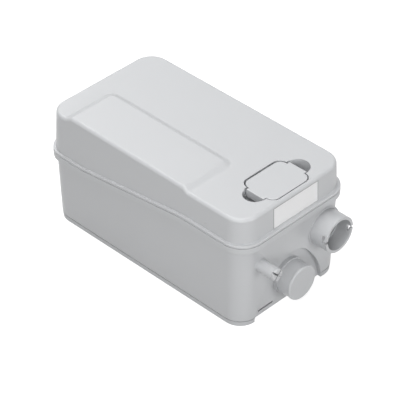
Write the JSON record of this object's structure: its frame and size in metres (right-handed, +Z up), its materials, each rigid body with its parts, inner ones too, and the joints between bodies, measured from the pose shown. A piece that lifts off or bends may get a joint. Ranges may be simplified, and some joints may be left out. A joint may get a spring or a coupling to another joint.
{
  "type": "sewage pump",
  "caption": "Compact waste water lifting pump: moulded tank with a sealed lid, raised panel, lift-out filter cover, discharge spigot with flap valve and a plugged low inlet.",
  "frame": {"origin": "middle of the centre foot under the tank, on the floor, below the middle of the lid", "axes": "+X to the end with the pipe connections, -Y to the raised-panel side, +Z up"},
  "size_m": [0.32, 0.1646, 0.1482],
  "materials": {
    "shell": "light grey moulded plastic with a fine satin grain",
    "label": "bare white plastic film label",
    "gasket": "black moulded rubber",
    "diaphragm": "thin black rubber sheet",
    "flap": "light grey moulded rubber flap",
    "valve": "grey moulded plastic",
    "deck": "dark grey moulded plastic",
    "pump": "black glass-filled plastic",
    "hose": "black smooth rubber hose",
    "clips": "spring steel band",
    "motor_shell": "cast aluminium, bead blasted",
    "laminations": "stacked electrical steel",
    "windings": "varnished copper wire",
    "bright_steel": "ground stainless steel",
    "screws": "stainless steel screw",
    "switch": "black moulded switch body",
    "plunger": "red acetal",
    "capacitor": "off-white capacitor can",
    "saddle": "black nylon saddle",
    "terminal": "white terminal plastic",
    "terminal_brass": "plain brass",
    "gland": "dark grey nylon",
    "charcoal": "charcoal filter fleece"
  },
  "bodies": {
    "tank_body": {"tank": "shell", "lid_gasket": "gasket", "valve_sleeve": "valve", "flap_pin": "bright_steel", "support_deck": "deck", "deck_screws": "screws", "motor_damper": "gasket", "motor_housing": "motor_shell", "motor_screws": "screws", "motor_cover": "motor_shell", "cover_screws": "screws", "lower_bearing": "bright_steel", "upper_bearing": "bright_steel", "shaft_seal": "gasket", "stator_core": "laminations", "stator_windings": "windings", "pump_casing": "pump", "casing_seal": "gasket", "casing_screws": "screws", "suction_strainer": "pump", "discharge_hose": "hose", "hose_clips": "clips", "dip_tube": "switch", "switch_base": "switch", "switch_diaphragm": "diaphragm", "switch_cap": "switch", "microswitch": "switch", "run_capacitor": "capacitor", "capacitor_saddle": "saddle", "saddle_screws": "screws", "terminal_block": "terminal", "terminal_screws": "terminal_brass"},
    "lid_body": {"lid": "shell", "rating_label": "label", "carbon_filter": "charcoal", "cable_gland": "gland", "gland_seal": "gasket", "gland_nut": "gland"},
    "filter_cover_body": {"filter_cover": "shell"},
    "inlet_plug_body": {"inlet_plug": "shell", "inlet_plug_seal": "gasket"},
    "flap_body": {"non_return_flap": "flap"},
    "small_plug_body": {"small_plug": "shell"},
    "rotor_body": {"rotor": "laminations", "shaft": "bright_steel", "impeller": "pump", "impeller_nut": "bright_steel"},
    "plunger_body": {"switch_plunger": "plunger"}
  },
  "joints": [
    {"name": "lid_lift", "type": "slide", "parent": "tank_body", "child": "lid_body", "axis": [0, 0, 1], "range_m": [0, 0.08]},
    {"name": "filter_cover_lift", "type": "slide", "parent": "lid_body", "child": "filter_cover_body", "axis": [0, 0, 1], "range_m": [0, 0.03]},
    {"name": "inlet_plug_pull", "type": "slide", "parent": "tank_body", "child": "inlet_plug_body", "axis": [1, 0, 0], "range_m": [0, 0.05]},
    {"name": "flap_swing", "type": "hinge", "parent": "tank_body", "child": "flap_body", "pos_m": [0.1418, 0.0474, 0.0845], "axis": [0, -1, 0], "range_deg": [0, 60]},
    {"name": "small_plug_turn", "type": "hinge", "parent": "tank_body", "child": "small_plug_body", "pos_m": [0.16, -0.05, 0.0767], "axis": [1, 0, 0], "range_deg": [0, 90]},
    {"name": "rotor_spin", "type": "hinge", "parent": "tank_body", "child": "rotor_body", "pos_m": [-0.048, -0.012, 0.08], "axis": [0, 0, 1], "continuous": true},
    {"name": "plunger_lift", "type": "slide", "parent": "tank_body", "child": "plunger_body", "axis": [0, 0, 1], "range_m": [0, 0.0015]}
  ]
}
